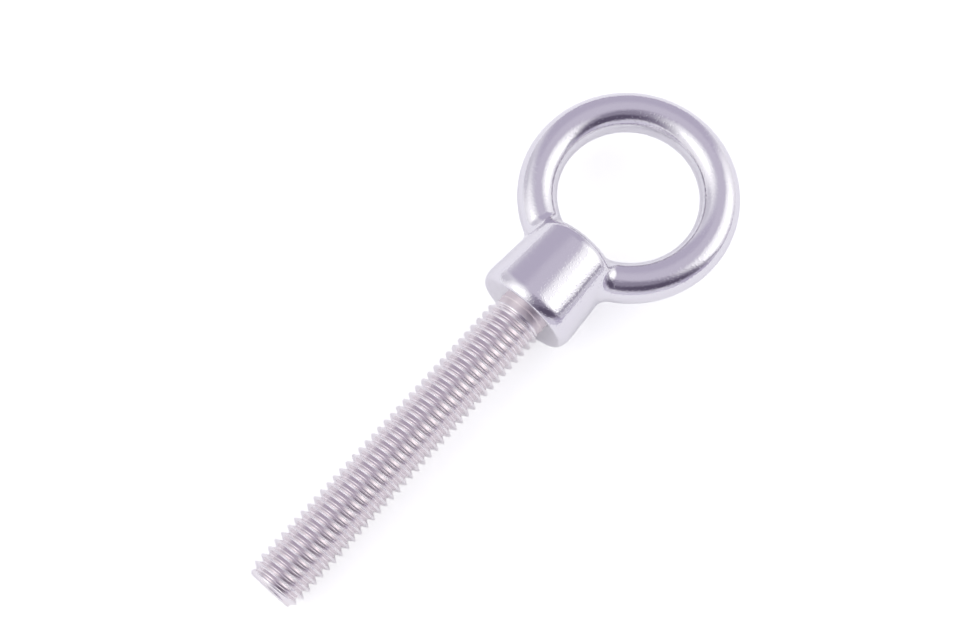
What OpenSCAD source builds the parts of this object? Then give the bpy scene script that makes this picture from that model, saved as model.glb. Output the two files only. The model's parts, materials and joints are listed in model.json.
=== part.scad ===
// Shoulder eye bolt, forged in one piece: a ring eye whose arms flow into a tapered collar, above a threaded shank.
// Lengths are in millimetres. Every form is drawn on the bolt's own axis: X runs from the tip to the eye, the seat
// of the collar is at x = 0, and the eye lies in the XY plane. The finished bolt is then laid down as it rests on a
// flat surface, on the end of its thread and the rim of its collar, with the two arms of the ring at one height.

/* [Shank] */
// Outside diameter of the thread
thread_d = 8; // [6:0.5:10]
// Length from the seat to the end of the shank
shank_length = 50; // [25:1:100]
// Width of the chamfer at the end of the thread
tip_chamfer = 0.8; // [0.3:0.1:1.5]
// How far the plain neck lies below the outside of the thread, on the radius
neck_step = 0.45; // [0.1:0.05:0.8]
// Length of the plain neck next to the seat
neck_length = 1.5; // [1:0.25:4]
// Radius of the fillet between the neck and the seat
neck_fillet = 0.6; // [0.2:0.1:0.9]

/* [Collar] */
// Largest diameter of the collar, just above the seat
collar_d = 14.4; // [13:0.1:18]
// Length of the collar, from the seat to its end in the eye
collar_length = 12.5; // [10:0.5:18]
// Slope of the side of the collar, in degrees, so that it narrows towards the eye
collar_draft = 3.7; // [0:0.1:6]
// Distance from the seat to the widest place of the rounded rim
rim_height = 1.1; // [0.4:0.1:1.6]
// Radius of the rounded rim, which the flat seat cuts through
rim_round = 1.9; // [1.8:0.1:3]
// Radius of the rounded edge at the end of the collar
end_round = 0.6; // [0.3:0.1:1.2]

/* [Eye] */
// Inside diameter of the eye
eye_d = 19.8; // [16:0.2:30]
// Thickness of the ring, which is round in section
ring_d = 5.6; // [4.6:0.1:7]
// How far the inner edge of the ring stands clear of the end of the collar
eye_rise = 0.3; // [0.1:0.1:0.8]
// Radius of the blend where the arms of the ring leave the collar
blend_radius = 1.2; // [0.8:0.1:1.6]

/* [Hidden] */

steel = [0.74, 0.73, 0.76];
$fn = 96;

thread_r = thread_d / 2;
neck_r = thread_r - neck_step;
tip_r = thread_r - tip_chamfer;
thread_start = neck_length + neck_step;
chamfer_start = shank_length - tip_chamfer;

// Centres of the two rounded edges of the collar, each as [distance from the seat, radius from the axis]
rim_centre = [rim_height, collar_d / 2 - rim_round];
end_centre_x = collar_length - end_round;
end_centre = [end_centre_x, side_radius(end_centre_x, -end_round)];
side_normal = [sin(collar_draft), cos(collar_draft)];
seat_r = rim_centre.y + sqrt(pow(rim_round, 2) - pow(rim_height, 2));

ring_r = ring_d / 2;
ring_path_r = (eye_d + ring_d) / 2;
eye_x = collar_length + eye_rise + eye_d / 2;

// Radius of the side of the collar at a distance from the seat, moved outwards by an amount
function side_radius(x, out = 0) =
    rim_centre.y + (rim_round + out) / cos(collar_draft) - (x - rim_centre.x) * tan(collar_draft);

// The bolt lies on the line that touches its rim and the start of its tip chamfer
tip_to_rim = [rim_centre.x + chamfer_start, rim_centre.y - thread_r];
lie_angle = atan2(tip_to_rim.y, tip_to_rim.x) + asin(rim_round / norm(tip_to_rim));
seat_height = thread_r * cos(lie_angle) + chamfer_start * sin(lie_angle);
lying_start = -shank_length * cos(lie_angle) - tip_r * sin(lie_angle);
lying_end = (eye_x + ring_path_r) * cos(lie_angle) + ring_r;

// The blend is the path of a ball that rolls along the corner between the ring and the collar. Where the corner is
// shallower than fade_angle, the blend fades away below the two surfaces.
blend_steps = 28;
arc_steps = 6;
search_steps = 30;
blend_sink = 0.05;
blend_root = 0.8;
fade_angle = 42;
fade_depth = 0.35;
face_run = end_centre.y;
edge_run = (end_round + blend_radius) * (90 - collar_draft) * PI / 180;
side_run = collar_length;

// Half section of the shank, with its neck and chamfers, as [radius, height]
module shank_profile() {
    polygon([
        [0, 0], [neck_r, 0], [neck_r, -neck_length], [thread_r, -thread_start],
        [thread_r, -chamfer_start], [tip_r, -shank_length], [0, -shank_length]
    ]);
    difference() {
        translate([neck_r, -neck_fillet]) square(neck_fillet);
        translate([neck_r + neck_fillet, -neck_fillet]) circle(neck_fillet);
    }
}

// Half section of the collar: flat seat, rounded rim, tapered side and rounded end
module collar_profile() {
    polygon([
        [0, 0], [seat_r, 0],
        [rim_centre.y + rim_round * side_normal.y, rim_centre.x + rim_round * side_normal.x],
        [end_centre.y + end_round * side_normal.y, end_centre.x + end_round * side_normal.x],
        [end_centre.y, collar_length], [0, collar_length]
    ]);
    intersection() {
        translate([rim_centre.y, rim_centre.x]) circle(rim_round);
        square([collar_d, collar_length]);
    }
    translate([end_centre.y, end_centre.x]) circle(end_round);
}

module turned_body() {
    rotate([90, 0, 90]) rotate_extrude() {
        shank_profile();
        collar_profile();
    }
}

module ring() {
    translate([eye_x, 0, 0]) rotate_extrude() translate([ring_path_r, 0]) circle(ring_r);
}

// Section of the collar's surface at a distance along it from the middle of its end, as the place of the centre
// of the ball that touches it there, [x, radius], and the direction from the surface to that centre
function ball_on_collar(run) =
    let (turn = (run - face_run) / edge_run * (90 - collar_draft))
    run < face_run ? [[collar_length + blend_radius, run], [1, 0]] :
    run < face_run + edge_run ?
        [end_centre + (end_round + blend_radius) * [cos(turn), sin(turn)], [cos(turn), sin(turn)]] :
    let (back = run - face_run - edge_run)
    [end_centre + (end_round + blend_radius) * side_normal + back * [-side_normal.y, side_normal.x], side_normal];

function turned(point, angle) = [point.x, point.y * cos(angle), point.y * sin(angle)];

function nearest_on_ring_path(p) =
    let (flat = [p.x - eye_x, p.y, 0])
    [eye_x, 0, 0] + ring_path_r * flat / norm(flat);

function gap_to_ring(run, angle) =
    let (p = turned(ball_on_collar(run)[0], angle))
    norm(p - nearest_on_ring_path(p)) - ring_r - blend_radius;

// Where along the collar's section the ball touches the ring as well, at an angle round the collar
function find_touch(angle, low = 0, high = face_run + edge_run + side_run, left = search_steps) =
    let (middle = (low + high) / 2)
    left == 0 ? middle :
    gap_to_ring(middle, angle) < 0 ? find_touch(angle, middle, high, left - 1) :
    find_touch(angle, low, middle, left - 1);

// Way of the ball from the side of an arm to an angle round the collar, and the angle at which it has gone a way
function way_to(angle) = angle * PI / 180 * end_centre.y + find_touch(0) - find_touch(angle);

function angle_at(way, low = 0, high = 90, left = search_steps) =
    let (middle = (low + high) / 2)
    left == 0 ? middle :
    way_to(middle) < way ? angle_at(way, middle, high, left - 1) :
    angle_at(way, low, middle, left - 1);

// One section of the blend at an angle round the collar: its arc from the ring to the collar, and its root inside
function blend_section(angle) =
    let (
        ball = ball_on_collar(find_touch(angle)),
        centre = turned(ball[0], angle),
        to_collar = -turned(ball[1], angle),
        ring_point = nearest_on_ring_path(centre),
        to_ring = (ring_point - centre) / norm(ring_point - centre),
        inwards = (to_ring + to_collar) / norm(to_ring + to_collar),
        between = acos(to_ring * to_collar),
        start = centre + fade_depth * max(0, 1 - between / fade_angle) * inwards
    )
    concat(
        [start + (blend_radius / cos(between / 2) + blend_root) * inwards],
        [for (i = [0:arc_steps])
            let (
                part = i / arc_steps,
                way = (sin((1 - part) * between) * to_ring + sin(part * between) * to_collar) / sin(between),
                deep = (i == 0 || i == arc_steps) ? blend_sink : 0
            )
            start + (blend_radius + deep) * way]
    );

module blend() {
    stations = 4 * blend_steps;
    size = arc_steps + 2;
    quarter = [for (k = [0:blend_steps - 1]) angle_at(way_to(90) * k / blend_steps)];
    angles = [
        each quarter,
        90,
        for (k = [blend_steps - 1:-1:1]) 180 - quarter[k],
        for (angle = quarter) 180 + angle,
        270,
        for (k = [blend_steps - 1:-1:1]) 360 - quarter[k]
    ];
    points = [for (angle = angles) each blend_section(angle)];
    faces = [for (k = [0:stations - 1], i = [0:size - 1])
        [k * size + i, ((k + 1) % stations) * size + i,
         ((k + 1) % stations) * size + (i + 1) % size, k * size + (i + 1) % size]];
    polyhedron(points, faces);
}

module eye_bolt() {
    color(steel)
    translate([-(lying_start + lying_end) / 2, 0, seat_height])
    rotate([0, -lie_angle, 0])
    union() {
        turned_body();
        ring();
        blend();
    }
}

eye_bolt();
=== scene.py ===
"""Dresses the shoulder eye bolt: a polished ring and collar, and a shank with its rolled thread."""
import json
from math import cos, pi, radians, sin, tan

import bpy
import numpy as np
from mathutils import Euler, Matrix, Vector


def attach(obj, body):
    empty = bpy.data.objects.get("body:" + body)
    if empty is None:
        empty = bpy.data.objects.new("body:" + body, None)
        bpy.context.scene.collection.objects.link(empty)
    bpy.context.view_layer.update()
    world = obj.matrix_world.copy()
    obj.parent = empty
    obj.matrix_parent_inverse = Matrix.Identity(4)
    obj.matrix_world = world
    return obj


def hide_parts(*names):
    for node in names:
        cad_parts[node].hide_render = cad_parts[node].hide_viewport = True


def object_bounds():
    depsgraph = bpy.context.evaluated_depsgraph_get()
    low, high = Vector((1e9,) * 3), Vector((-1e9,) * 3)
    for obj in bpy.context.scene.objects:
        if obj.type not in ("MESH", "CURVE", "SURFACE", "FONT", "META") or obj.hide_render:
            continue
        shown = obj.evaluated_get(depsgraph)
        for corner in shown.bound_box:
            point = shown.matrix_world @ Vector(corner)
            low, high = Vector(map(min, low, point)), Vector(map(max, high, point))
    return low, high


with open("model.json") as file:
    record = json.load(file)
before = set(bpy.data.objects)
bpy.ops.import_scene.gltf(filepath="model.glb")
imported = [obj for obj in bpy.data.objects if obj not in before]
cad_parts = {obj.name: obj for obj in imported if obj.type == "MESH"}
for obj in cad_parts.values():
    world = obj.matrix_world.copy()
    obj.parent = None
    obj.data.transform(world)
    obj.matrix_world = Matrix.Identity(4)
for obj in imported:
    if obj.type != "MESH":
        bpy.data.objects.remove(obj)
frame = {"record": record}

bl_info = {
    "name": "Shoulder Eye Bolt",
    "version": (1, 0, 0),
    "blender": (4, 5, 0),
    "location": "3D Viewport > Sidebar > Eye Bolt",
    "description": "Builds a shoulder eye bolt of stainless steel and the studio around it",
    "category": "Add Mesh",
}

CAD_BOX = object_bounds()
NODE = "eye_bolt"
MM = 0.001


def bolt_frame():
    """The place of the lying bolt: X from the tip to the eye, the seat at x = 0, the eye in the XY plane."""
    mounts = {mount["name"]: mount for mount in frame["record"]["mounts"]}
    along = -Vector(mounts["thread"]["axis"]).normalized()
    up = Vector(mounts["eye"]["axis"]).normalized()
    across = up.cross(along)
    eye = Vector(mounts["eye"]["pos_m"])
    origin = eye - along * (eye - Vector(mounts["seat"]["pos_m"])).dot(along)
    place = Matrix((along, across, up)).transposed().to_4x4()
    place.translation = origin
    return place


PLACE = bolt_frame()


def length(name, description, millimetres):
    """A property for a length in metres."""
    return bpy.props.FloatProperty(
        name=name, description=description, default=millimetres * MM, min=0.0,
        unit="LENGTH", subtype="DISTANCE")


def linear(code):
    """Linear values of an sRGB hex code."""
    parts = [int(code[i:i + 2], 16) / 255 for i in (0, 2, 4)]
    return tuple(p / 12.92 if p <= 0.04045 else ((p + 0.055) / 1.055) ** 2.4 for p in parts)


def colour(name, description, code):
    """A property for a colour, given as an sRGB hex code."""
    return bpy.props.FloatVectorProperty(
        name=name, description=description, default=linear(code), size=3, min=0.0, max=1.0, subtype="COLOR")


class EyeBoltSizes(bpy.types.PropertyGroup):
    """Sizes of the bolt, as its maker would give them"""
    ring_diameter: length("Ring Thickness", "Diameter of the ring's round section", 5.6)
    eye_diameter: length("Eye", "Inside diameter of the ring", 19.8)
    collar_diameter: length("Collar", "Largest diameter of the collar", 14.4)
    collar_length: length("Collar Length", "From the seat to the end of the collar in the eye", 12.8)
    eye_centre: length("Eye Centre", "From the seat to the middle of the ring", 22.7)
    rim_height: length("Rim Height", "From the seat to the widest place of the rim", 1.7)
    rim_round: length("Rim Radius", "Radius of the rounded rim", 2.9)
    end_round: length("End Radius", "Radius of the rounded edge at the collar's end", 1.8)
    seat_edge: length("Seat Edge", "Radius of the worn edge round the seat", 0.15)
    blend_radius: length("Blend", "Radius of the blend between the ring and the collar", 1.0)
    draft: bpy.props.FloatProperty(
        name="Draft", description="Slope of the collar's side", default=radians(3.7),
        subtype="ANGLE", unit="ROTATION")
    cell: length("Cell", "Size of the mesh's faces on the ring and the collar", 0.21)

    thread_diameter: length("Thread", "Outside diameter of the thread", 8.0)
    pitch: length("Pitch", "Distance from crest to crest", 1.25)
    shank_length: length("Shank Length", "From the seat to the end of the shank", 50.0)
    neck_diameter: length("Neck", "Diameter of the plain neck, and of the blank under the thread", 7.1)
    neck_fillet: length("Neck Fillet", "Radius of the fillet between the neck and the seat", 0.15)
    tip_chamfer: length("Tip Chamfer", "Width of the chamfer at the end of the thread", 0.8)
    crest_phase: length("Crest Phase", "How far the thread is turned on, as a length along the axis", 0.23)
    seam_depth: length("Crest Seam", "Depth of the seam that rolling leaves along the crest", 0.06)


class EyeBoltLooks(bpy.types.PropertyGroup):
    """Colours of the bolt's steel, with a darker painted shade for the thread's roots, and of the floor"""
    polished: colour("Polished Steel", "Colour of the ring and the collar", "e6e4e8")
    rolled: colour("Rolled Steel", "Colour of the thread's crests and flanks", "efebec")
    # Painted shade: a darker colour laid into the thread's roots, where shade falls between the crests
    blank: colour("Blank", "Colour of the plain neck, which the rolling dies don't touch", "e8dfe0")
    root_shade: colour("Root Shade", "Colour in the roots of the thread", "ebe5e7")
    floor: colour("Floor", "Colour of the floor", "f2f4f1")


# How the nodes of a tree are set out in the node editor
NODES_IN_A_ROW = 12
NODE_WIDTH = 200
NODE_HEIGHT = 220


def put(tree, kind, inputs=(), **settings):
    """Adds a node with its settings and its inputs, given in order or by name, and returns its outputs."""
    made = tree.nodes.new(kind)
    row, column = divmod(len(tree.nodes), NODES_IN_A_ROW)
    made.location = (NODE_WIDTH * column, -NODE_HEIGHT * row)
    for name, value in settings.items():
        setattr(made, name, value)
    for key, value in inputs.items() if isinstance(inputs, dict) else enumerate(inputs):
        if isinstance(value, bpy.types.NodeSocket):
            tree.links.new(value, made.inputs[key])
        else:
            made.inputs[key].default_value = value
    return made.outputs


# The ring and the collar: their exact form as a distance, and even faces laid on it

# In millimetres, the step over which the slope of the distance is taken
SLOPE_STEP = 2e-4
# The grid starts and ends this many cells outside the form. The start isn't a whole number, so that no layer
# of the grid lies in the flat seat.
GRID_BEFORE = 2.37
GRID_AFTER = 2


def common(a, b, radius):
    """Distance to what two forms have in common, with a rounded edge."""
    return (np.minimum(-radius, np.maximum(a, b))
            + np.hypot(np.maximum(radius + a, 0), np.maximum(radius + b, 0)))


def joined(a, b, radius):
    """Distance to two forms joined by a blend."""
    return (np.maximum(radius, np.minimum(a, b))
            - np.hypot(np.maximum(radius - a, 0), np.maximum(radius - b, 0)))


def body_distance(points, sizes):
    """Distance from points to the surface of the ring and the collar, in millimetres on the bolt's axes."""
    mm = {name: getattr(sizes, name) / MM for name in (
        "ring_diameter", "eye_diameter", "collar_diameter", "collar_length", "eye_centre", "rim_height",
        "rim_round", "end_round", "seat_edge", "blend_radius")}
    x, y, z = points[..., 0], points[..., 1], points[..., 2]

    # The collar is a cone with a rounded rim, cut by its end and by its seat
    from_rim = x - mm["rim_height"]
    outside = np.hypot(y, z) - (mm["collar_diameter"] / 2 - mm["rim_round"])
    back = -(from_rim * cos(sizes.draft) - outside * sin(sizes.draft))
    out = from_rim * sin(sizes.draft) + outside * cos(sizes.draft)
    side = (np.hypot(np.maximum(back, 0), np.maximum(out, 0))
            + np.minimum(np.maximum(back, out), 0) - mm["rim_round"])
    collar = common(side, x - mm["collar_length"], mm["end_round"])
    collar = common(collar, -x, mm["seat_edge"])

    path = (mm["eye_diameter"] + mm["ring_diameter"]) / 2
    ring = np.hypot(np.hypot(x - mm["eye_centre"], y) - path, z) - mm["ring_diameter"] / 2
    return joined(collar, ring, mm["blend_radius"])


def gradient(points, sizes):
    """Direction in which the distance grows."""
    slopes = [body_distance(points + axis, sizes) - body_distance(points - axis, sizes)
              for axis in np.eye(3) * SLOPE_STEP]
    found = np.stack(slopes, -1) / (2 * SLOPE_STEP)
    return found / np.linalg.norm(found, axis=-1, keepdims=True)


def settle(points, sizes, rounds):
    """Moves points onto the surface."""
    for _ in range(rounds):
        points = points - body_distance(points, sizes)[:, None] * gradient(points, sizes)
    return points


def net_points(distance, cells, corners):
    """For each cell that the surface crosses, the middle of the places where its edges cross it, in cells."""
    total, weight = np.zeros((len(cells), 3)), np.zeros(len(cells))
    for a in corners:
        for axis in range(3):
            if a[axis]:
                continue
            b = tuple(1 if n == axis else a[n] for n in range(3))
            at_a = distance[tuple((cells + a).T)]
            at_b = distance[tuple((cells + b).T)]
            cut = (at_a < 0) != (at_b < 0)
            part = np.where(cut, at_a / np.where(cut, at_a - at_b, 1), 0)
            at = np.array(a) + part[:, None] * (np.array(b) - np.array(a))
            total[cut] += at[cut]
            weight[cut] += 1
    return cells + total / weight[:, None]


def net_faces(inside, index):
    """A face round each edge of the grid that the surface crosses, from the points of the cells beside it."""
    faces = []
    for axis in range(3):
        first, second = (axis + 1) % 3, (axis + 2) % 3
        near = [slice(1, -1)] * 3
        far = [slice(1, -1)] * 3
        near[axis] = slice(0, -1)
        far[axis] = slice(1, None)
        near, far = inside[tuple(near)], inside[tuple(far)]
        for mask, order in ((near & ~far, 1), (~near & far, -1)):
            at = np.argwhere(mask)
            at[:, first] += 1
            at[:, second] += 1
            ring = []
            for da, db in ((-1, -1), (0, -1), (0, 0), (-1, 0))[::order]:
                place = at.copy()
                place[:, first] += da
                place[:, second] += db
                ring.append(index[tuple(place.T)])
            faces.append(np.stack(ring, 1))
    return np.concatenate(faces)


def surface_net(distance, low, cell):
    """One vertex in each cell that the surface crosses, and a face round each grid edge that it crosses."""
    inside = distance < 0
    corners = [(i, j, k) for i in (0, 1) for j in (0, 1) for k in (0, 1)]
    shape = tuple(n - 1 for n in distance.shape)
    views = [tuple(slice(c, c + n) for c, n in zip(corner, shape)) for corner in corners]
    count = sum(inside[view].astype(int) for view in views)
    crossed = (count > 0) & (count < len(corners))
    cells = np.argwhere(crossed)
    index = np.full(shape, -1)
    index[crossed] = np.arange(len(cells))
    return low + net_points(distance, cells, corners) * cell, net_faces(inside, index)


def relax(points, faces, sizes, rounds=6):
    """Evens out the faces: each point goes half way to its neighbours' middle, then onto the surface."""
    edges = np.concatenate([faces[:, [i, (i + 1) % 4]] for i in range(4)])
    edges = np.unique(np.sort(edges, 1), axis=0)
    for _ in range(rounds):
        total, count = np.zeros_like(points), np.zeros(len(points))
        for a, b in ((0, 1), (1, 0)):
            for axis in range(3):
                total[:, axis] += np.bincount(edges[:, a], points[edges[:, b], axis], len(points))
            count += np.bincount(edges[:, a], minlength=len(points))
        points = settle(points + 0.5 * (total / count[:, None] - points), sizes, 1)
    return settle(points, sizes, 2)


def body_mesh(sizes):
    """The mesh of the ring and the collar, with normals taken from the exact surface."""
    cell = sizes.cell / MM
    reach = sizes.eye_diameter / 2 + sizes.ring_diameter
    low = np.array([0, -reach / MM, -sizes.collar_diameter / MM / 2]) - GRID_BEFORE * cell
    end = sizes.eye_centre + reach
    high = np.array([end / MM, reach / MM, sizes.collar_diameter / MM / 2]) + GRID_AFTER * cell
    counts = np.ceil((high - low) / cell).astype(int) + 1
    axes = [low[n] + np.arange(counts[n]) * cell for n in range(3)]
    grid = np.stack(np.meshgrid(*axes, indexing="ij"), -1)
    points, faces = surface_net(body_distance(grid, sizes), low, cell)
    points = relax(settle(points, sizes, 3), faces, sizes)
    normals = gradient(points, sizes)

    mesh = bpy.data.meshes.new("ring_and_collar")
    turn = np.array(PLACE.to_3x3())
    placed = points * MM @ turn.T + np.array(PLACE.translation)
    mesh.from_pydata(placed.tolist(), [], faces.tolist())
    mesh.validate()
    mesh.polygons.foreach_set("use_smooth", np.ones(len(mesh.polygons), bool))
    mesh.normals_split_custom_set_from_vertices((normals @ turn.T).tolist())
    return mesh


# The threaded shank

# Faces round the shank, and rows of faces for each turn of the thread
COLUMNS = 96
ROWS = 20
# Points this close become one point, and the shank's two ends close to a point within this radius
WELD = 0.003 * MM
POLE = 0.06 * MM
# Fall of a sixty degree thread's flank for each length along the axis
FLANK = tan(radians(60))
# Shares of the pitch: the flat on a crest, the depth of the roots, what rounds off crests and roots, and how
# far the seam reaches to each side of the crest
CREST_FLAT = 1 / 8
ROOT_DEPTH = 0.6134
CREST_ROUND = 0.06
ROOT_ROUND = 0.16
SEAM_REACH = 0.04
# Shares of the pitch, from the seat: where the thread is whole and where it has run out, and the same of the
# finish that the dies give it
RUN_OUT = (-1.36, -0.72)
FINISH_END = (-0.9, -0.65)
# Shares of the pitch, from the tip: where the first turns would be flat and where they are whole, how near to
# the tip a point is drawn onto its plane, and over what length beyond it the rows draw in to the middle
LOW_TURNS = (-0.6, 1.5)
TIP_SNAP = 0.045
TIP_CLOSE = 0.5
# Shares of the neck's fillet: how far the shank reaches into the collar, and where its rows have drawn in
SUNK_END = (0.5, 2)
# Turns of the grid past the length of the shank, for the faces that close its ends
SPARE_TURNS = 3


def shank_inputs(tree):
    """Adds the named inputs of the shank's tree and returns the outputs of its input node."""
    kinds = {
        "NodeSocketFloat": ("Thread Diameter", "Pitch", "Length", "Neck Diameter", "Neck Fillet",
                            "Tip Chamfer", "Crest Phase", "Crest Seam"),
        "NodeSocketInt": ("Turns",),
        "NodeSocketVector": ("Tilt", "Seat"),
        "NodeSocketMaterial": ("Material",),
    }
    for kind, names in kinds.items():
        for name in names:
            socket = tree.interface.new_socket(name, in_out="INPUT", socket_type=kind)
            if kind == "NodeSocketFloat":
                socket.subtype = "DISTANCE"
    return put(tree, "NodeGroupInput")


def thread_places(tree, given):
    """A point's turn round the axis, its distance from the nearest crest and its place along the axis.

    Rows lie close together at the crests and in the roots, and wide apart on the straight flanks."""
    pitch = given["Pitch"]
    spot = put(tree, "ShaderNodeSeparateXYZ", (put(tree, "GeometryNodeInputPosition")[0],))
    around = put(tree, "ShaderNodeMath", (spot["X"], 0.5), operation="ADD")[0]
    crest = put(tree, "ShaderNodeMath", (spot["Y"],), operation="ROUND")[0]
    beside = put(tree, "ShaderNodeMath", (spot["Y"], crest), operation="SUBTRACT")[0]
    beside = put(tree, "ShaderNodeMath", (beside, 2), operation="MULTIPLY")[0]
    share = put(tree, "ShaderNodeMath", (beside,), operation="ABSOLUTE")[0]
    half_pitch = put(tree, "ShaderNodeMath", (pitch, 0.5), operation="MULTIPLY")[0]
    from_crest = put(tree, "ShaderNodeMapRange", (share, 0, 1, 0, half_pitch),
                     interpolation_type="SMOOTHSTEP")[0]
    sign = put(tree, "ShaderNodeMath", (beside,), operation="SIGN")[0]
    turns = put(tree, "ShaderNodeMath", (crest, around), operation="ADD")[0]
    along = put(tree, "ShaderNodeMath", (turns, pitch), operation="MULTIPLY")[0]
    along = put(tree, "ShaderNodeMath", (from_crest, sign, along), operation="MULTIPLY_ADD")[0]
    along = put(tree, "ShaderNodeMath", (along, given["Crest Phase"]), operation="ADD")[0]
    half_length = put(tree, "ShaderNodeMath", (given["Length"], 0.5), operation="MULTIPLY")[0]
    along = put(tree, "ShaderNodeMath", (along, half_length), operation="SUBTRACT")[0]
    return around, from_crest, along


def thread_form(tree, given, outside, from_crest):
    """The thread's radius: straight flanks, a flat crest with a seam along it, and round roots.

    Also gives the radius of the roots, and how deep between the crests a point lies, from zero to one, by
    which the material paints shade into the roots."""
    pitch = given["Pitch"]
    peak = put(tree, "ShaderNodeMath", (pitch, FLANK * CREST_FLAT / 2, outside), operation="MULTIPLY_ADD")[0]
    flank = put(tree, "ShaderNodeMath", (from_crest, -FLANK, peak), operation="MULTIPLY_ADD")[0]
    root = put(tree, "ShaderNodeMath", (pitch, -ROOT_DEPTH, outside), operation="MULTIPLY_ADD")[0]
    crest_round = put(tree, "ShaderNodeMath", (pitch, CREST_ROUND), operation="MULTIPLY")[0]
    root_round = put(tree, "ShaderNodeMath", (pitch, ROOT_ROUND), operation="MULTIPLY")[0]
    form = put(tree, "ShaderNodeMath", (flank, outside, crest_round), operation="SMOOTH_MIN")[0]
    form = put(tree, "ShaderNodeMath", (form, root, root_round), operation="SMOOTH_MAX")[0]
    seam_reach = put(tree, "ShaderNodeMath", (pitch, SEAM_REACH), operation="MULTIPLY")[0]
    seam = put(tree, "ShaderNodeMapRange", (from_crest, 0, seam_reach, given["Crest Seam"], 0),
               interpolation_type="SMOOTHSTEP")[0]
    form = put(tree, "ShaderNodeMath", (form, seam), operation="SUBTRACT")[0]
    root_shade = put(tree, "ShaderNodeMapRange", (form, root, outside, 1, 0), interpolation_type="SMOOTHSTEP")[0]
    return form, root, root_shade


def neck_form(tree, given, form, along):
    """The radius with the thread run out into the plain neck, and the neck flared into the seat.

    Also gives how much of the thread remains, from one down to zero at the neck."""
    pitch, fillet = given["Pitch"], given["Neck Fillet"]
    run_out = [put(tree, "ShaderNodeMath", (pitch, share), operation="MULTIPLY")[0] for share in RUN_OUT]
    remains = put(tree, "ShaderNodeMapRange", (along, *run_out, 1, 0), interpolation_type="SMOOTHSTEP")[0]
    neck = put(tree, "ShaderNodeMath", (given["Neck Diameter"], 0.5), operation="MULTIPLY")[0]
    above = put(tree, "ShaderNodeMath", (form, neck), operation="SUBTRACT")[0]
    form = put(tree, "ShaderNodeMath", (above, remains, neck), operation="MULTIPLY_ADD")[0]

    reach = put(tree, "ShaderNodeMath", (along, fillet), operation="ADD")[0]
    reach = put(tree, "ShaderNodeMath", (reach, 0), operation="MAXIMUM")[0]
    reach = put(tree, "ShaderNodeMath", (reach, reach), operation="MULTIPLY")[0]
    sag = put(tree, "ShaderNodeMath", (fillet, fillet), operation="MULTIPLY")[0]
    sag = put(tree, "ShaderNodeMath", (sag, reach), operation="SUBTRACT")[0]
    sag = put(tree, "ShaderNodeMath", (sag, 0), operation="MAXIMUM")[0]
    sag = put(tree, "ShaderNodeMath", (sag,), operation="SQRT")[0]
    flare = put(tree, "ShaderNodeMath", (fillet, sag), operation="SUBTRACT")[0]
    return put(tree, "ShaderNodeMath", (form, flare), operation="ADD")[0], remains


def tip_form(tree, given, outside, root, form, along):
    """The radius with lower first turns and a chamfer at the tip, and each point's distance from the tip."""
    pitch = given["Pitch"]
    tip = put(tree, "ShaderNodeMath", (given["Length"], -1), operation="MULTIPLY")[0]
    snap = put(tree, "ShaderNodeMath", (pitch, TIP_SNAP), operation="MULTIPLY")[0]
    at_tip = put(tree, "ShaderNodeMath", (along, tip, snap), operation="COMPARE")[0]
    elsewhere = put(tree, "ShaderNodeMath", (1, at_tip), operation="SUBTRACT")[0]
    to_tip = put(tree, "ShaderNodeMath", (along, given["Length"]), operation="ADD")[0]
    to_tip = put(tree, "ShaderNodeMath", (to_tip, elsewhere), operation="MULTIPLY")[0]
    low_turns = [put(tree, "ShaderNodeMath", (pitch, share), operation="MULTIPLY")[0] for share in LOW_TURNS]
    grown_up = put(tree, "ShaderNodeMapRange", (to_tip, *low_turns), interpolation_type="SMOOTHSTEP")[0]
    above = put(tree, "ShaderNodeMath", (form, root), operation="SUBTRACT")[0]
    form = put(tree, "ShaderNodeMath", (above, grown_up, root), operation="MULTIPLY_ADD")[0]
    chamfer = put(tree, "ShaderNodeMath", (outside, given["Tip Chamfer"]), operation="SUBTRACT")[0]
    chamfer = put(tree, "ShaderNodeMath", (chamfer, to_tip), operation="ADD")[0]
    return put(tree, "ShaderNodeMath", (form, chamfer), operation="MINIMUM")[0], to_tip


def closed_ends(tree, given, form, along, to_tip):
    """The radius and the place along the axis, with flat faces at the tip and inside the collar."""
    past_tip = put(tree, "ShaderNodeMath", (given["Pitch"], -TIP_CLOSE), operation="MULTIPLY")[0]
    drawn_in = put(tree, "ShaderNodeMapRange", (to_tip, past_tip, 0, 0, 1),
                   interpolation_type="SMOOTHSTEP")[0]
    form = put(tree, "ShaderNodeMath", (form, drawn_in), operation="MULTIPLY")[0]
    sunk, closed = [put(tree, "ShaderNodeMath", (given["Neck Fillet"], share), operation="MULTIPLY")[0]
                    for share in SUNK_END]
    drawn_in = put(tree, "ShaderNodeMapRange", (along, sunk, closed, 1, 0),
                   interpolation_type="SMOOTHSTEP")[0]
    form = put(tree, "ShaderNodeMath", (form, drawn_in), operation="MULTIPLY")[0]
    off_pole = put(tree, "ShaderNodeMath", (form, POLE), operation="GREATER_THAN")[0]
    form = put(tree, "ShaderNodeMath", (form, off_pole), operation="MULTIPLY")[0]
    x = put(tree, "ShaderNodeMath", (to_tip, 0), operation="MAXIMUM")[0]
    x = put(tree, "ShaderNodeMath", (x, given["Length"]), operation="SUBTRACT")[0]
    x = put(tree, "ShaderNodeMath", (x, sunk), operation="MINIMUM")[0]
    return form, x


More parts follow.
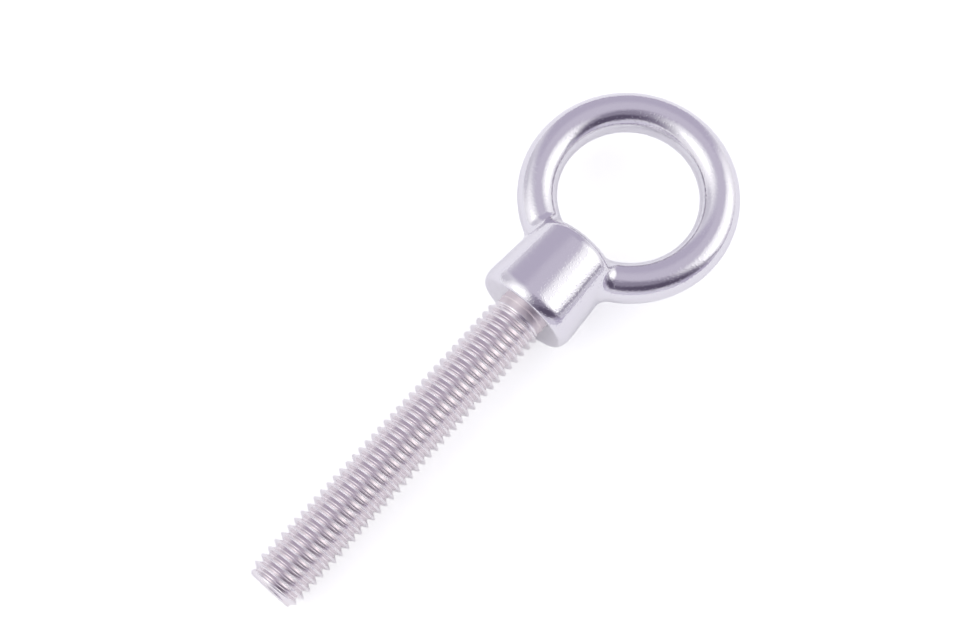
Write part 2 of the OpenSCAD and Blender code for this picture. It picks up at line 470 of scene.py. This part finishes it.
def shank_tree():
    """Geometry Nodes that wrap a grid round the axis, with one crest of the thread for each of its turns."""
    tree = bpy.data.node_groups.new("Threaded Shank", "GeometryNodeTree")
    tree.interface.new_socket("Geometry", in_out="OUTPUT", socket_type="NodeSocketGeometry")
    given = shank_inputs(tree)
    rows = put(tree, "ShaderNodeMath", (given["Turns"], ROWS, 1), operation="MULTIPLY_ADD")[0]
    shape = put(tree, "GeometryNodeMeshGrid", {
        "Size X": 1.0, "Size Y": given["Turns"], "Vertices X": COLUMNS + 1, "Vertices Y": rows})["Mesh"]

    outside = put(tree, "ShaderNodeMath", (given["Thread Diameter"], 0.5), operation="MULTIPLY")[0]
    around, from_crest, along = thread_places(tree, given)
    form, root, root_shade = thread_form(tree, given, outside, from_crest)
    form, remains = neck_form(tree, given, form, along)
    form, to_tip = tip_form(tree, given, outside, root, form, along)
    form, x = closed_ends(tree, given, form, along, to_tip)
    angle = put(tree, "ShaderNodeMath", (around, 2 * pi), operation="MULTIPLY")[0]
    y = put(tree, "ShaderNodeMath", (angle,), operation="COSINE")[0]
    y = put(tree, "ShaderNodeMath", (form, y), operation="MULTIPLY")[0]
    z = put(tree, "ShaderNodeMath", (angle,), operation="SINE")[0]
    z = put(tree, "ShaderNodeMath", (form, z), operation="MULTIPLY")[0]
    place = put(tree, "ShaderNodeCombineXYZ", (x, y, z))[0]

    # What the material reads: how deep between the crests a point lies, for the shade painted into the roots,
    # and whether the dies rolled it
    root_shade = put(tree, "ShaderNodeMath", (root_shade, remains), operation="MULTIPLY")[0]
    ends = [put(tree, "ShaderNodeMath", (given["Pitch"], share), operation="MULTIPLY")[0]
            for share in FINISH_END]
    rolled = put(tree, "ShaderNodeMapRange", (along, *ends, 1, 0), interpolation_type="SMOOTHSTEP")[0]
    for name, value in (("root_shade", root_shade), ("rolled", rolled)):
        shape = put(tree, "GeometryNodeStoreNamedAttribute", {
            "Geometry": shape, "Name": name, "Value": value}, data_type="FLOAT", domain="POINT")[0]

    shape = put(tree, "GeometryNodeSetPosition", {"Geometry": shape, "Position": place})[0]
    shape = put(tree, "GeometryNodeMergeByDistance", {"Geometry": shape, "Distance": WELD})[0]
    shape = put(tree, "GeometryNodeSetShadeSmooth", {"Geometry": shape, "Shade Smooth": True})[0]
    shape = put(tree, "GeometryNodeTransform", {
        "Geometry": shape, "Translation": given["Seat"], "Rotation": given["Tilt"]})[0]
    shape = put(tree, "GeometryNodeRealizeInstances", {"Geometry": shape})[0]
    shape = put(tree, "GeometryNodeSetMaterial", {"Geometry": shape, "Material": given["Material"]})[0]
    put(tree, "NodeGroupOutput", {"Geometry": shape})
    return tree


def grown(name, tree, values):
    """A plain mesh object from a Geometry Nodes tree, with the values of its named inputs."""
    seed = bpy.data.meshes.new(name + "_seed")
    holder = bpy.data.objects.new(name, seed)
    bpy.context.scene.collection.objects.link(holder)
    modifier = holder.modifiers.new("Geometry Nodes", "NODES")
    modifier.node_group = tree
    for item in tree.interface.items_tree:
        if item.item_type == "SOCKET" and item.in_out == "INPUT":
            modifier[item.identifier] = values[item.name]
    bpy.context.view_layer.update()
    graph = bpy.context.evaluated_depsgraph_get()
    mesh = bpy.data.meshes.new_from_object(holder.evaluated_get(graph), depsgraph=graph)
    mesh.name = name
    holder.modifiers.remove(modifier)
    holder.data = mesh
    bpy.data.meshes.remove(seed)
    return holder


# Materials

# Widths and heights of what makes the polished surface uneven: its orange peel, the waves that the buffing
# wheel leaves and the swell of the forging. All three are about as large as on real forged fittings.
PEEL, PEEL_HEIGHT = 0.25 * MM, 0.006 * MM
WAVE, WAVE_HEIGHT = 0.5 * MM, 0.005 * MM
SWELL, SWELL_HEIGHT = 3 * MM, 0.025 * MM
# The orange peel's noise makes flat steel below the first value and the tops of small grains above the second
PEEL_EDGE = (0.6, 0.76)
POLISHED_ROUGHNESS = 0.11
# The grain of rolled steel is some hundredths of a millimetre across, too fine to show in the render, so it
# is drawn as coarse as it needs to be to break up the highlights
GRAIN, GRAIN_HEIGHT = 0.3 * MM, 0.008 * MM
BLANK_ROUGHNESS = 0.45
ROLLED_ROUGHNESS = 0.24


def steel(name):
    """A new metal material: its tree, its Principled node and its Object coordinates."""
    made = bpy.data.materials.new(name)
    made.use_nodes = True
    tree = made.node_tree
    shader = tree.nodes["Principled BSDF"]
    shader.inputs["Metallic"].default_value = 1.0
    where = put(tree, "ShaderNodeTexCoord")["Object"]
    return made, tree, shader, where


def polished_steel(looks):
    """Buffed forged stainless steel: near a mirror, so that windows and walls stand in it as crisp bands, and
    with a fine orange peel, so that the edges of the bands are a little ragged."""
    made, tree, shader, where = steel("polished_stainless_steel")
    shader.inputs["Base Color"].default_value = (*looks.polished, 1)
    shader.inputs["Roughness"].default_value = POLISHED_ROUGHNESS
    peel = put(tree, "ShaderNodeTexNoise", {"Vector": where, "Scale": 1 / PEEL, "Detail": 0.0})["Fac"]
    peel = put(tree, "ShaderNodeMapRange", (peel, *PEEL_EDGE), interpolation_type="SMOOTHSTEP")[0]
    normal = put(tree, "ShaderNodeBump", {"Height": peel, "Distance": PEEL_HEIGHT})[0]
    for width, height, detail in ((WAVE, WAVE_HEIGHT, 1.0), (SWELL, SWELL_HEIGHT, 0.0)):
        wave = put(tree, "ShaderNodeTexNoise", {"Vector": where, "Scale": 1 / width, "Detail": detail})["Fac"]
        normal = put(tree, "ShaderNodeBump", {"Height": wave, "Distance": height, "Normal": normal})[0]
    tree.links.new(normal, shader.inputs["Normal"])
    return made


def rolled_steel(looks):
    """Rolled stainless steel: satin and a little warm, so that what it mirrors is blurred into soft bands.

    The neck keeps the duller skin of the drawn blank, because the rolling dies don't touch it."""
    made, tree, shader, where = steel("rolled_stainless_steel")
    root_shade = put(tree, "ShaderNodeAttribute", attribute_name="root_shade")["Fac"]
    rolled = put(tree, "ShaderNodeAttribute", attribute_name="rolled")["Fac"]
    # Painted shade: the deeper a point lies between the crests, the more of the darker root colour it gets
    tint = put(tree, "ShaderNodeMix", {
        0: root_shade, 6: (*looks.rolled, 1), 7: (*looks.root_shade, 1)}, data_type="RGBA")[2]
    tint = put(tree, "ShaderNodeMix", {0: rolled, 6: (*looks.blank, 1), 7: tint}, data_type="RGBA")[2]
    tree.links.new(tint, shader.inputs["Base Color"])
    roughness = put(tree, "ShaderNodeMapRange", (rolled, 0, 1, BLANK_ROUGHNESS, ROLLED_ROUGHNESS),
                    interpolation_type="SMOOTHSTEP")[0]
    tree.links.new(roughness, shader.inputs["Roughness"])
    grain = put(tree, "ShaderNodeTexNoise", {"Vector": where, "Scale": 1 / GRAIN, "Detail": 3.0})["Fac"]
    grainy = put(tree, "ShaderNodeBump", {"Height": grain, "Distance": GRAIN_HEIGHT})[0]
    tree.links.new(grainy, shader.inputs["Normal"])
    return made


# The studio

# The camera on the bolt's own axes: its place in millimetres and its turn in degrees. Its lens and the width
# of its sensor are in millimetres too, and the nearest that it sees is in metres.
CAMERA_PLACE = (-55.37, -41.05, 223.46)
CAMERA_TURN = (16.885, 0, -48.735)
LENS = 64.36
SENSOR = 36
NEAREST = 0.01
VIEW = PLACE @ Matrix.LocRotScale(Vector(CAMERA_PLACE) * MM, Euler([radians(a) for a in CAMERA_TURN]), None)

# Metres from the middle of the floor to its edges, and its gap to the bolt, so that no faces share a plane
FLOOR_HALF = 3.0
FLOOR_GAP = 0.02 * MM
# How much lighter the steel mirrors the floor than it is, and the light that the camera sees on top of it
MIRRORED_LIFT = 0.4
CAMERA_LIFT = 0.48


def studio_world(world):
    """The room above the floor, as the polished steel mirrors it: two windows, a grey ceiling and a doorway.

    It is drawn on a chart, whose X and Y are degrees away from the way that leads to the camera, to the right
    and to the top of the picture. The camera itself sees a white backdrop."""
    world.use_nodes = True
    tree = world.node_tree
    tree.nodes.clear()
    ray = put(tree, "ShaderNodeTexCoord")["Generated"]
    ray = put(tree, "ShaderNodeMapping", {
        "Vector": ray, "Rotation": VIEW.to_euler()}, vector_type="TEXTURE")[0]
    height = put(tree, "ShaderNodeSeparateXYZ", (ray,))["Z"]
    away = put(tree, "ShaderNodeMath", (height,), operation="ARCCOSINE")[0]
    away = put(tree, "ShaderNodeMath", (away,), operation="DEGREES")[0]
    flat = put(tree, "ShaderNodeVectorMath", (ray, (1, 1, 0)), operation="MULTIPLY")[0]
    flat = put(tree, "ShaderNodeVectorMath", (flat,), operation="NORMALIZE")[0]
    chart = put(tree, "ShaderNodeVectorMath", {0: flat, "Scale": away}, operation="SCALE")[0]

    def blob(centre, size, inner, outer):
        """A soft-edged ellipse: one up to the inner share of its size, and zero from the outer one on."""
        local = put(tree, "ShaderNodeMapping", {
            "Vector": chart, "Location": (*centre, 0), "Scale": (*size, 1)}, vector_type="TEXTURE")[0]
        far = put(tree, "ShaderNodeVectorMath", (local,), operation="LENGTH")["Value"]
        return put(tree, "ShaderNodeMapRange", (far, inner, outer, 1, 0), interpolation_type="SMOOTHSTEP")[0]

    def edge(point, angle, width):
        """A straight edge through a point: zero before it, and one from a width beyond it on."""
        way = (cos(radians(angle)), sin(radians(angle)), 0)
        far = put(tree, "ShaderNodeVectorMath", (chart, way), operation="DOT_PRODUCT")["Value"]
        start = point[0] * way[0] + point[1] * way[1]
        return put(tree, "ShaderNodeMapRange", (far, start, start + width))[0]

    def within(operation, mask, *others):
        """What lies within all the masks, as their product or as the least of them."""
        for other in others:
            mask = put(tree, "ShaderNodeMath", (mask, other), operation=operation)[0]
        return mask

    # Linear light, where one is as bright as white paper
    side = (0.94, 0.93, 0.98)
    upper_left = (0.70, 0.68, 0.76)
    ceiling = (0.54, 0.50, 0.63)
    right_wall = (0.66, 0.63, 0.72)
    between = (0.64, 0.60, 0.72)
    skirt = (1.20, 1.19, 1.22)
    window = (2.1, 2.08, 2.12)
    low_wall = (0.73, 0.70, 0.82)
    corner = (0.56, 0.52, 0.66)
    sill = (0.36, 0.33, 0.42)
    half_dark = (0.30, 0.27, 0.36)
    dark = (0.115, 0.095, 0.15)
    doorway = within(
        "MINIMUM", edge((-33, -8), -42, 22), edge((30, 3), -120, 13), edge((78, 0), 180, 22),
        edge((-14, -50), 78, 10), edge((36, -49), 112, 10))
    below = within("MULTIPLY", edge((0, -46), -90, 8), edge((-52, 0), 0, 14), edge((106, 0), 180, 40))
    layers = (
        (blob((-70, 52), (24, 32), 0.4, 1.1), upper_left),
        (blob((6, 80), (66, 56), 0.6, 1.15), ceiling),
        (blob((92, -8), (20, 36), 0.4, 1.1), right_wall),
        (blob((6, 20), (24, 44), 0.5, 1.2), between),
        (blob((-46, 9), (38, 34), 0.35, 1.1), skirt),
        (blob((55, 19), (35, 44), 0.45, 1.05), skirt),
        (blob((-44, 6), (17, 19), 0.3, 1.2), window),
        (blob((57, 15), (15, 25), 0.3, 1.2), window),
        (below, low_wall),
        (blob((66, -42), (34, 22), 0.5, 1.2), corner),
        (blob((70, -18), (20, 4), 0.3, 1.1), sill),
        (doorway, half_dark),
        (within("MULTIPLY", doorway, blob((20, -31), (44, 18), 0.35, 1.2)), dark),
    )
    room = (*side, 1)
    for mask, light in layers:
        room = put(tree, "ShaderNodeMix", {0: mask, 6: room, 7: (*light, 1)}, data_type="RGBA")[2]
    room = put(tree, "ShaderNodeBackground", {"Color": room})[0]
    backdrop = put(tree, "ShaderNodeBackground", {"Color": (1, 1, 1, 1)})[0]
    seen = put(tree, "ShaderNodeLightPath")["Is Camera Ray"]
    mixed = put(tree, "ShaderNodeMixShader", (seen, room, backdrop))[0]
    put(tree, "ShaderNodeOutputWorld", {"Surface": mixed})


def floor_material(looks):
    """Matt pale card: it shows soft shadows and no reflections.

    The camera sees it lifted to white with its shadows kept, and the steel mirrors it lighter than it is."""
    made = bpy.data.materials.new("pale_card")
    made.use_nodes = True
    tree = made.node_tree
    tree.nodes.clear()
    paths = put(tree, "ShaderNodeLightPath")
    mirrored, seen = paths["Is Glossy Ray"], paths["Is Camera Ray"]
    times = put(tree, "ShaderNodeMath", (mirrored, MIRRORED_LIFT, 1), operation="MULTIPLY_ADD")[0]
    card = put(tree, "ShaderNodeVectorMath", {0: looks.floor, "Scale": times}, operation="SCALE")[0]
    matt = put(tree, "ShaderNodeBsdfDiffuse", {"Color": card})[0]
    lift = put(tree, "ShaderNodeMath", (seen, CAMERA_LIFT), operation="MULTIPLY")[0]
    glow = put(tree, "ShaderNodeEmission", {"Color": (1, 1, 1, 1), "Strength": lift})[0]
    both = put(tree, "ShaderNodeAddShader", (matt, glow))[0]
    put(tree, "ShaderNodeOutputMaterial", {"Surface": both})
    return made


# Operators

def keep(piece):
    """Hands a finished piece to the frame."""
    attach(piece, "root")
    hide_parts(NODE)


class EYEBOLT_OT_ring_and_collar(bpy.types.Operator):
    """Add the polished ring and collar"""
    bl_idname = "eyebolt.ring_and_collar"
    bl_label = "Ring and Collar"

    def execute(self, context):
        piece = bpy.data.objects.new("ring_and_collar", body_mesh(context.scene.eye_bolt_sizes))
        context.scene.collection.objects.link(piece)
        piece.data.materials.append(polished_steel(context.scene.eye_bolt_looks))
        keep(piece)
        return {"FINISHED"}


class EYEBOLT_OT_threaded_shank(bpy.types.Operator):
    """Add the shank with its rolled thread"""
    bl_idname = "eyebolt.threaded_shank"
    bl_label = "Threaded Shank"

    def execute(self, context):
        sizes = context.scene.eye_bolt_sizes
        # An even number, so that the grid has a crest in its middle
        turns = 2 * round((sizes.shank_length / sizes.pitch + SPARE_TURNS) / 2)
        piece = grown("threaded_shank", shank_tree(), {
            "Thread Diameter": sizes.thread_diameter, "Pitch": sizes.pitch, "Length": sizes.shank_length,
            "Neck Diameter": sizes.neck_diameter, "Neck Fillet": sizes.neck_fillet,
            "Tip Chamfer": sizes.tip_chamfer,
            "Crest Phase": sizes.crest_phase, "Crest Seam": sizes.seam_depth,
            "Turns": turns, "Tilt": tuple(PLACE.to_euler()), "Seat": tuple(PLACE.translation),
            "Material": rolled_steel(context.scene.eye_bolt_looks)})
        keep(piece)
        return {"FINISHED"}


class EYEBOLT_OT_stage(bpy.types.Operator):
    """Add the floor, the room's light and the camera"""
    bl_idname = "eyebolt.stage"
    bl_label = "Stage"

    def execute(self, context):
        scene = context.scene
        scene.view_settings.view_transform = "Standard"
        mesh = bpy.data.meshes.new("floor")
        corners = [(x * FLOOR_HALF, y * FLOOR_HALF, 0) for x, y in ((-1, -1), (1, -1), (1, 1), (-1, 1))]
        mesh.from_pydata(corners, [], [(0, 1, 2, 3)])
        mesh.materials.append(floor_material(scene.eye_bolt_looks))
        floor = bpy.data.objects.new("floor", mesh)
        floor.location.z = CAD_BOX[0].z - FLOOR_GAP
        scene.collection.objects.link(floor)

        scene.world = bpy.data.worlds.new("studio")
        studio_world(scene.world)

        lens = bpy.data.cameras.new("camera")
        lens.lens = LENS
        lens.sensor_width = SENSOR
        lens.clip_start = NEAREST
        camera = bpy.data.objects.new("camera", lens)
        camera.matrix_world = VIEW
        scene.collection.objects.link(camera)
        scene.camera = camera
        return {"FINISHED"}


class EYEBOLT_PT_sidebar(bpy.types.Panel):
    """Lists the sizes, the colours and the pieces of the eye bolt"""
    bl_idname = "EYEBOLT_PT_sidebar"
    bl_label = "Shoulder Eye Bolt"
    bl_space_type = "VIEW_3D"
    bl_region_type = "UI"
    bl_category = "Eye Bolt"

    def draw(self, context):
        layout = self.layout
        for group in (context.scene.eye_bolt_sizes, context.scene.eye_bolt_looks):
            column = layout.column(align=True)
            for name in group.__annotations__:
                column.prop(group, name)
        for operator in OPERATORS:
            layout.operator(operator.bl_idname)


OPERATORS = (EYEBOLT_OT_ring_and_collar, EYEBOLT_OT_threaded_shank, EYEBOLT_OT_stage)
CLASSES = (EyeBoltSizes, EyeBoltLooks, *OPERATORS, EYEBOLT_PT_sidebar)


def register():
    for cls in CLASSES:
        bpy.utils.register_class(cls)
    bpy.types.Scene.eye_bolt_sizes = bpy.props.PointerProperty(type=EyeBoltSizes)
    bpy.types.Scene.eye_bolt_looks = bpy.props.PointerProperty(type=EyeBoltLooks)


def unregister():
    del bpy.types.Scene.eye_bolt_looks
    del bpy.types.Scene.eye_bolt_sizes
    for cls in reversed(CLASSES):
        bpy.utils.unregister_class(cls)


def main():
    register()
    bpy.ops.eyebolt.ring_and_collar()
    bpy.ops.eyebolt.threaded_shank()
    bpy.ops.eyebolt.stage()
    bpy.context.view_layer.update()


if __name__ == "__main__":
    main()
